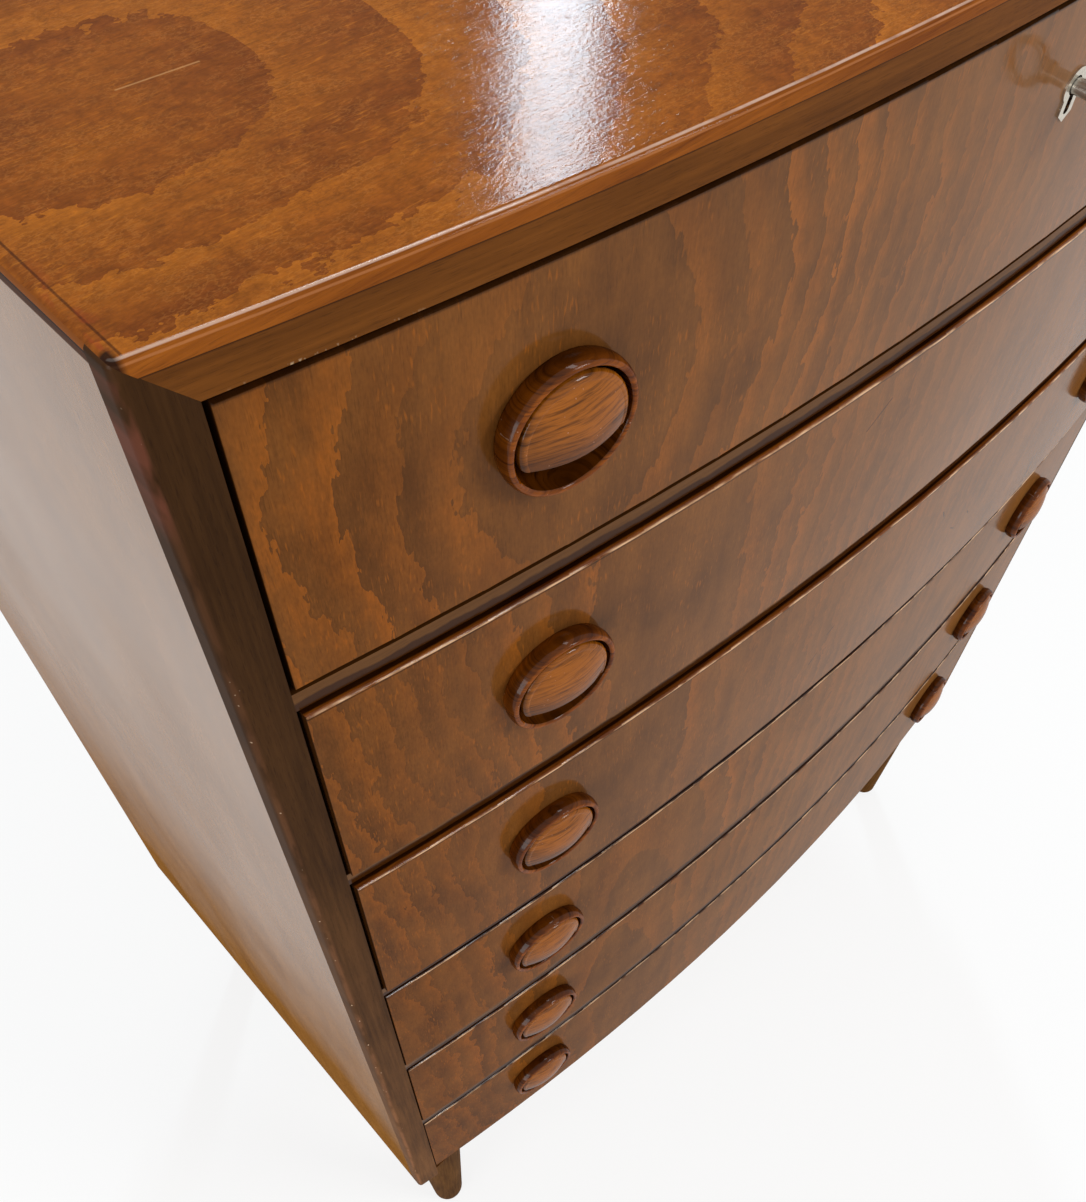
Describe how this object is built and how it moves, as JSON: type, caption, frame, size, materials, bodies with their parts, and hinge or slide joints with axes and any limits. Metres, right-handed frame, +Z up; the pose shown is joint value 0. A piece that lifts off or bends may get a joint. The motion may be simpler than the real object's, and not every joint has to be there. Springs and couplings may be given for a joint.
{
  "type": "tallboy chest of drawers",
  "caption": "Tall bow-fronted chest of drawers on turned legs, with sliding drawers, round eyelid pulls and a key that lifts a lock bolt.",
  "frame": {"origin": "floor under the middle of the chest's box, between the back and the key's end", "axes": "+Z up, the drawers face -Y, +X to the right as seen from the front"},
  "size_m": [0.76, 0.468, 1.123],
  "materials": {
    "veneer": "satin lacquered figured veneer, stained brown",
    "lipping": "satin lacquered solid wood, stained dark brown",
    "pull_wood": "glossy turned dark wood",
    "leg_wood": "satin lacquered turned wood",
    "drawer_wood": "plain pale wood",
    "plywood": "plain thin plywood",
    "carcase_wood": "plain unfinished wood",
    "steel": "satin steel",
    "plate_metal": "bright pressed metal",
    "glide": "dark nylon"
  },
  "bodies": {
    "carcase": {"top_panel": "veneer", "top_lipping": "lipping", "left_side": "veneer", "right_side": "veneer", "left_stile": "lipping", "right_stile": "lipping", "rail_1": "lipping", "rail_2": "lipping", "rail_3": "lipping", "rail_4": "lipping", "rail_5": "lipping", "left_runners": "carcase_wood", "right_runners": "carcase_wood", "drawer_stops": "carcase_wood", "bottom_panel": "carcase_wood", "back_panel": "plywood", "corner_blocks": "carcase_wood", "carcase_screws": "steel", "back_screws": "steel", "left_front_leg": "leg_wood", "right_front_leg": "leg_wood", "left_rear_leg": "leg_wood", "right_rear_leg": "leg_wood", "leg_glides": "glide"},
    "drawer_1": {"drawer_1_front": "veneer", "drawer_1_box": "drawer_wood", "drawer_1_bottom": "plywood", "drawer_1_pull_rings": "pull_wood", "drawer_1_pull_lids": "pull_wood", "lock_case": "steel", "lock_screws": "steel", "escutcheon": "plate_metal"},
    "drawer_2": {"drawer_2_front": "veneer", "drawer_2_box": "drawer_wood", "drawer_2_bottom": "plywood", "drawer_2_pull_rings": "pull_wood", "drawer_2_pull_lids": "pull_wood"},
    "drawer_3": {"drawer_3_front": "veneer", "drawer_3_box": "drawer_wood", "drawer_3_bottom": "plywood", "drawer_3_pull_rings": "pull_wood", "drawer_3_pull_lids": "pull_wood"},
    "drawer_4": {"drawer_4_front": "veneer", "drawer_4_box": "drawer_wood", "drawer_4_bottom": "plywood", "drawer_4_pull_rings": "pull_wood", "drawer_4_pull_lids": "pull_wood"},
    "drawer_5": {"drawer_5_front": "veneer", "drawer_5_box": "drawer_wood", "drawer_5_bottom": "plywood", "drawer_5_pull_rings": "pull_wood", "drawer_5_pull_lids": "pull_wood"},
    "drawer_6": {"drawer_6_front": "veneer", "drawer_6_box": "drawer_wood", "drawer_6_bottom": "plywood", "drawer_6_pull_rings": "pull_wood", "drawer_6_pull_lids": "pull_wood"},
    "key": {"key": "steel"},
    "lock_bolt": {"lock_bolt": "steel"}
  },
  "joints": [
    {"name": "drawer_1_slide", "type": "slide", "parent": "carcase", "child": "drawer_1", "axis": [0, -1, 0], "range_m": [0, 0.3]},
    {"name": "drawer_2_slide", "type": "slide", "parent": "carcase", "child": "drawer_2", "axis": [0, -1, 0], "range_m": [-0.00271, 0.3]},
    {"name": "drawer_3_slide", "type": "slide", "parent": "carcase", "child": "drawer_3", "axis": [0, -1, 0], "range_m": [-0.0033, 0.3]},
    {"name": "drawer_4_slide", "type": "slide", "parent": "carcase", "child": "drawer_4", "axis": [0, -1, 0], "range_m": [-0.00099, 0.3]},
    {"name": "drawer_5_slide", "type": "slide", "parent": "carcase", "child": "drawer_5", "axis": [0, -1, 0], "range_m": [-0.00109, 0.3]},
    {"name": "drawer_6_slide", "type": "slide", "parent": "carcase", "child": "drawer_6", "axis": [0, -1, 0], "range_m": [-0.00079, 0.3]},
    {"name": "key_turn", "type": "hinge", "parent": "drawer_1", "child": "key", "pos_m": [0.0008, -0.201, 1.0626], "axis": [0, 1, 0], "range_deg": [0, 180]},
    {"name": "bolt_slide", "type": "slide", "parent": "drawer_1", "child": "lock_bolt", "axis": [0, 0, 1], "range_m": [0, 0.006]}
  ],
  "couplings": [
    {"joint": "key_turn", "follows": "bolt_slide", "rad_per_m": 523.6}
  ]
}
